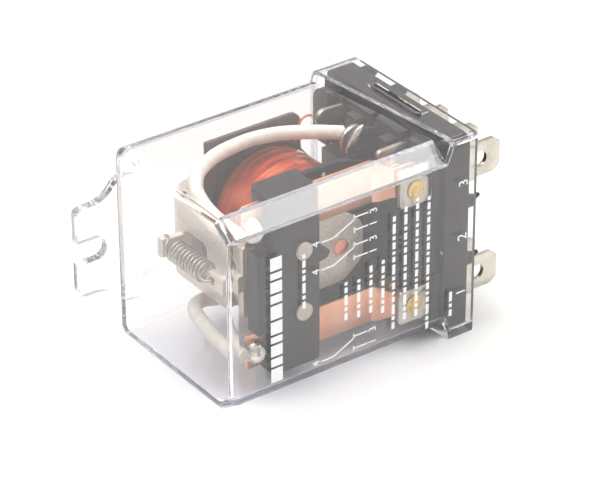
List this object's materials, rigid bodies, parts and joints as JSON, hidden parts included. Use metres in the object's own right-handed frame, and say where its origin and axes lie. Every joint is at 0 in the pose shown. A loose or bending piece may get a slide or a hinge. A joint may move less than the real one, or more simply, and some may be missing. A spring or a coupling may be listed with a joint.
{
  "type": "plug-in relay",
  "caption": "Plug-in power relay in a clear rectangular cover with a slotted flange tab, quick-connect blades, visible coil, hinged armature and changeover contacts.",
  "frame": {"origin": "centre of the base's seating face, on the side the blades leave from", "axes": "+X the plug-in direction, out of the base along the blades; -Y the marked front, +Y the back with the flange tab; +Z one side, up when the relay lies on its other side"},
  "size_m": [0.0659, 0.0352, 0.0398],
  "materials": {
    "clear_polycarbonate": "clear, polished",
    "black_phenolic": "moulded, dull",
    "tinned_brass": "stamped and tin plated",
    "fine_silver_gilt": "gold flashed, satin",
    "copper_strip": "rolled strip",
    "zinc_plated_steel": "bright zinc, satin",
    "bare_copper": "turned",
    "enamelled_copper_wire": "lacquered wire, layer wound",
    "brown_laminate": "paper laminate",
    "spring_steel": "drawn wire",
    "silicone_lead": "extruded sleeve",
    "tin_solder": "frozen bright"
  },
  "bodies": {
    "housing": {"cover": "clear_polycarbonate", "base": "black_phenolic", "terminal_nc_upper": "tinned_brass", "terminal_nc_lower": "tinned_brass", "terminal_no_upper": "tinned_brass", "terminal_no_lower": "tinned_brass", "terminal_com_upper": "tinned_brass", "terminal_com_lower": "tinned_brass", "terminal_coil_upper": "tinned_brass", "terminal_coil_lower": "tinned_brass", "contact_nc_upper": "fine_silver_gilt", "contact_nc_lower": "fine_silver_gilt", "contact_no_upper": "fine_silver_gilt", "contact_no_lower": "fine_silver_gilt", "yoke": "zinc_plated_steel", "core": "zinc_plated_steel", "bobbin": "black_phenolic", "coil_winding": "enamelled_copper_wire", "rear_insulator": "brown_laminate", "return_spring": "spring_steel", "pigtail_upper": "silicone_lead", "pigtail_lower": "silicone_lead", "coil_wire_upper": "enamelled_copper_wire", "coil_wire_lower": "enamelled_copper_wire", "solder_com_upper": "tin_solder", "solder_com_lower": "tin_solder"},
    "armature": {"armature": "zinc_plated_steel", "residual_rivet": "bare_copper", "contact_carrier": "black_phenolic", "carrier_rivet_upper": "zinc_plated_steel", "carrier_rivet_lower": "zinc_plated_steel", "arm_upper": "copper_strip", "arm_lower": "copper_strip", "contact_moving_upper": "fine_silver_gilt", "contact_moving_lower": "fine_silver_gilt", "solder_arm_upper": "tin_solder", "solder_arm_lower": "tin_solder"}
  },
  "joints": [
    {"name": "armature_pivot", "type": "hinge", "parent": "housing", "child": "armature", "pos_m": [-0.0382, -0.005, 0], "axis": [0, 0, 1], "range_deg": [0, 3], "stiffness_Nm_per_rad": 0.02, "springref_deg": -11.46, "deforming": ["return_spring", "pigtail_upper", "pigtail_lower"]}
  ]
}
